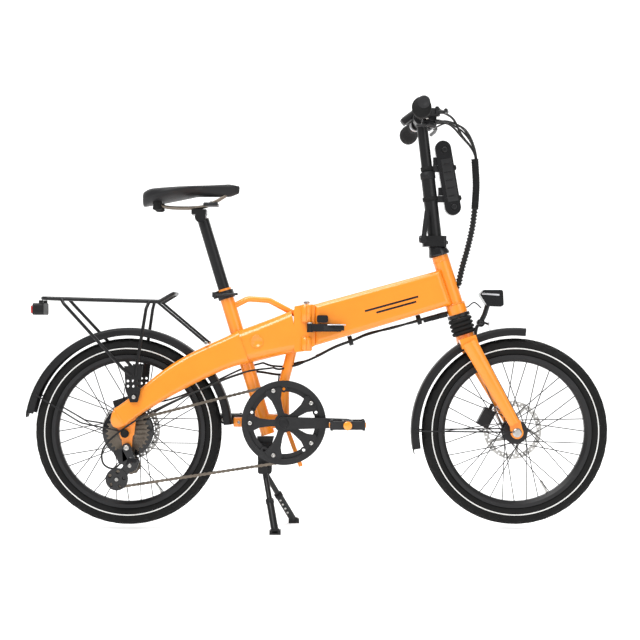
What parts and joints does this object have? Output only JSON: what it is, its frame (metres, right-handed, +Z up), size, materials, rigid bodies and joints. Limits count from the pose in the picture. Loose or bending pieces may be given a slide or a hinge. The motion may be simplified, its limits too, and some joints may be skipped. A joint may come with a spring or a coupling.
{
  "type": "folding bicycle",
  "caption": "Folding bicycle with a central frame hinge, folding handlepost, hub motor, mudguards, luggage rack, lamps and a two-leg stand.",
  "frame": {"origin": "on the floor, under the middle of the bicycle's length and width, with the stand down", "axes": "+X forward, +Y the rider's left, +Z up"},
  "size_m": [1.586, 0.58, 1.1646],
  "materials": {
    "frame_paint": "gloss",
    "black_metal": "satin",
    "black_steel": "satin",
    "black_plastic": "matte",
    "gloss_plastic": "gloss",
    "steel": "satin",
    "alloy": "satin",
    "tyre_rubber": "matte",
    "grip_rubber": "matte",
    "saddle_cover": "matte",
    "chain_steel": "satin",
    "lamp": "gloss",
    "copper_core": "satin"
  },
  "bodies": {
    "rear_frame": {"rear_frame": "frame_paint", "seat_clamp": "black_metal", "bottom_bracket": "black_steel", "motor_stator": "copper_core", "rear_mudguard": "black_plastic", "rack": "black_metal", "rear_light": "lamp", "rear_caliper": "black_metal", "rear_derailleur": "black_steel", "chain": "chain_steel", "kickstand_mount": "black_metal", "main_hinge_pin": "steel"},
    "guide_pulley": {"guide_pulley": "black_plastic"},
    "tension_pulley": {"tension_pulley": "black_plastic"},
    "rear_wheel": {"rear_hub_shell": "black_metal", "rear_spokes": "black_steel", "rear_rim": "black_metal", "rear_tyre": "tyre_rubber", "rear_rotor": "steel"},
    "cassette": {"cassette": "chain_steel"},
    "crankset": {"chainring": "black_steel", "crank_right": "black_metal", "crank_left": "black_metal"},
    "pedal_right": {"pedal_right": "black_plastic"},
    "pedal_left": {"pedal_left": "black_plastic"},
    "seat": {"seatpost": "black_metal", "saddle": "saddle_cover"},
    "seat_lever": {"seat_clamp_lever": "black_metal"},
    "stand_right": {"kickstand_leg_right": "black_metal"},
    "stand_left": {"kickstand_leg_left": "black_metal"},
    "front_frame": {"front_frame": "frame_paint", "battery_pack": "black_plastic", "controller": "black_plastic", "headset": "black_steel", "frame_harness": "grip_rubber"},
    "main_latch": {"main_latch": "black_plastic"},
    "safety_catch": {"safety_catch": "black_plastic"},
    "steerer": {"steerer": "black_steel", "fork_boot": "grip_rubber", "control_cables": "grip_rubber"},
    "fork": {"fork": "frame_paint", "front_axle": "steel", "front_caliper": "black_metal", "front_mudguard": "black_plastic"},
    "headlight": {"headlight": "gloss_plastic"},
    "front_wheel": {"front_hub": "black_metal", "front_spokes": "black_steel", "front_rim": "black_metal", "front_tyre": "tyre_rubber", "front_rotor": "steel"},
    "handlepost": {"handlepost": "black_metal", "handlebar": "black_metal", "grips": "grip_rubber", "brake_brackets": "black_plastic", "display": "gloss_plastic", "shifter": "black_plastic"},
    "folding_lock": {"folding_lock": "gloss_plastic"},
    "post_latch": {"handlepost_latch": "black_plastic"},
    "brake_lever_right": {"brake_lever_right": "black_metal"},
    "brake_lever_left": {"brake_lever_left": "black_metal"}
  },
  "joints": [
    {"name": "rear_wheel_spin", "type": "hinge", "parent": "rear_frame", "child": "rear_wheel", "pos_m": [-0.515, 0, 0.266], "axis": [0, 1, 0], "continuous": true},
    {"name": "cassette_spin", "type": "hinge", "parent": "rear_frame", "child": "cassette", "pos_m": [-0.515, 0, 0.266], "axis": [0, 1, 0], "continuous": true},
    {"name": "crank_spin", "type": "hinge", "parent": "rear_frame", "child": "crankset", "pos_m": [-0.09, 0, 0.293], "axis": [0, 1, 0], "continuous": true},
    {"name": "guide_pulley_spin", "type": "hinge", "parent": "rear_frame", "child": "guide_pulley", "pos_m": [-0.502, 0, 0.18], "axis": [0, 1, 0], "continuous": true},
    {"name": "tension_pulley_spin", "type": "hinge", "parent": "rear_frame", "child": "tension_pulley", "pos_m": [-0.54, 0, 0.141], "axis": [0, 1, 0], "continuous": true},
    {"name": "pedal_right_spin", "type": "hinge", "parent": "crankset", "child": "pedal_right", "pos_m": [0.08, 0, 0.293], "axis": [0, 1, 0], "continuous": true},
    {"name": "pedal_left_spin", "type": "hinge", "parent": "crankset", "child": "pedal_left", "pos_m": [-0.26, 0, 0.293], "axis": [0, 1, 0], "continuous": true},
    {"name": "seatpost_slide", "type": "slide", "parent": "rear_frame", "child": "seat", "axis": [-0.2893, 0, 0.9572], "range_m": [-0.17, 0.08]},
    {"name": "seat_lever_flip", "type": "hinge", "parent": "rear_frame", "child": "seat_lever", "pos_m": [-0.27908, -0.022, 0.63873], "axis": [0, 0, 1], "range_deg": [-160, 0]},
    {"name": "stand_right_fold", "type": "hinge", "parent": "rear_frame", "child": "stand_right", "pos_m": [-0.143, 0, 0.163], "axis": [0, 1, 0], "range_deg": [0, 76]},
    {"name": "stand_left_fold", "type": "hinge", "parent": "rear_frame", "child": "stand_left", "pos_m": [-0.143, 0, 0.163], "axis": [0, 1, 0], "range_deg": [0, 95]},
    {"name": "main_fold", "type": "hinge", "parent": "rear_frame", "child": "front_frame", "pos_m": [-0.0295, 0.039, 0.55], "axis": [0, 0, 1], "range_deg": [0, 150]},
    {"name": "main_latch_swing", "type": "hinge", "parent": "front_frame", "child": "main_latch", "pos_m": [-0.02, -0.05, 0.549], "axis": [0, 0, 1], "range_deg": [-140, 0]},
    {"name": "safety_catch_slide", "type": "slide", "parent": "front_frame", "child": "safety_catch", "axis": [0, 0, 1], "range_m": [0, 0.006]},
    {"name": "steering", "type": "hinge", "parent": "front_frame", "child": "steerer", "pos_m": [0.385, 0, 0.587], "axis": [-0.3017, 0, 0.9534], "range_deg": [-75, 75]},
    {"name": "fork_suspension", "type": "slide", "parent": "steerer", "child": "fork", "axis": [-0.3017, 0, 0.9534], "range_m": [0, 0.03], "deforming": ["fork_boot"]},
    {"name": "headlight_tilt", "type": "hinge", "parent": "fork", "child": "headlight", "pos_m": [0.446, 0, 0.562], "axis": [0, 1, 0], "range_deg": [-10, 15]},
    {"name": "front_wheel_spin", "type": "hinge", "parent": "fork", "child": "front_wheel", "pos_m": [0.539, 0, 0.266], "axis": [0, 1, 0], "continuous": true},
    {"name": "handlepost_fold", "type": "hinge", "parent": "steerer", "child": "handlepost", "pos_m": [0.35, 0.025, 0.783], "axis": [0.7071, -0.7071, 0], "range_deg": [-155, 0], "deforming": ["control_cables"]},
    {"name": "post_latch_swing", "type": "hinge", "parent": "handlepost", "child": "post_latch", "pos_m": [0.288, 0, 0.786], "axis": [0, 1, 0], "range_deg": [-100, 0]},
    {"name": "lock_lift", "type": "slide", "parent": "handlepost", "child": "folding_lock", "axis": [-0.167, 0, 0.986], "range_m": [0, 0.03]},
    {"name": "brake_lever_right_pull", "type": "hinge", "parent": "handlepost", "child": "brake_lever_right", "pos_m": [0.31623, -0.146, 1.11816], "axis": [0, 0, 1], "range_deg": [-14, 0]},
    {"name": "brake_lever_left_pull", "type": "hinge", "parent": "handlepost", "child": "brake_lever_left", "pos_m": [0.31623, 0.146, 1.11816], "axis": [0, 0, 1], "range_deg": [0, 14]}
  ],
  "couplings": [
    {"joint": "cassette_spin", "follows": "crank_spin", "ratio": 3.7143},
    {"joint": "guide_pulley_spin", "follows": "crank_spin", "ratio": -4.7273},
    {"joint": "tension_pulley_spin", "follows": "crank_spin", "ratio": 4.7273},
    {"joint": "stand_left_fold", "follows": "stand_right_fold", "ratio": 1.25}
  ]
}
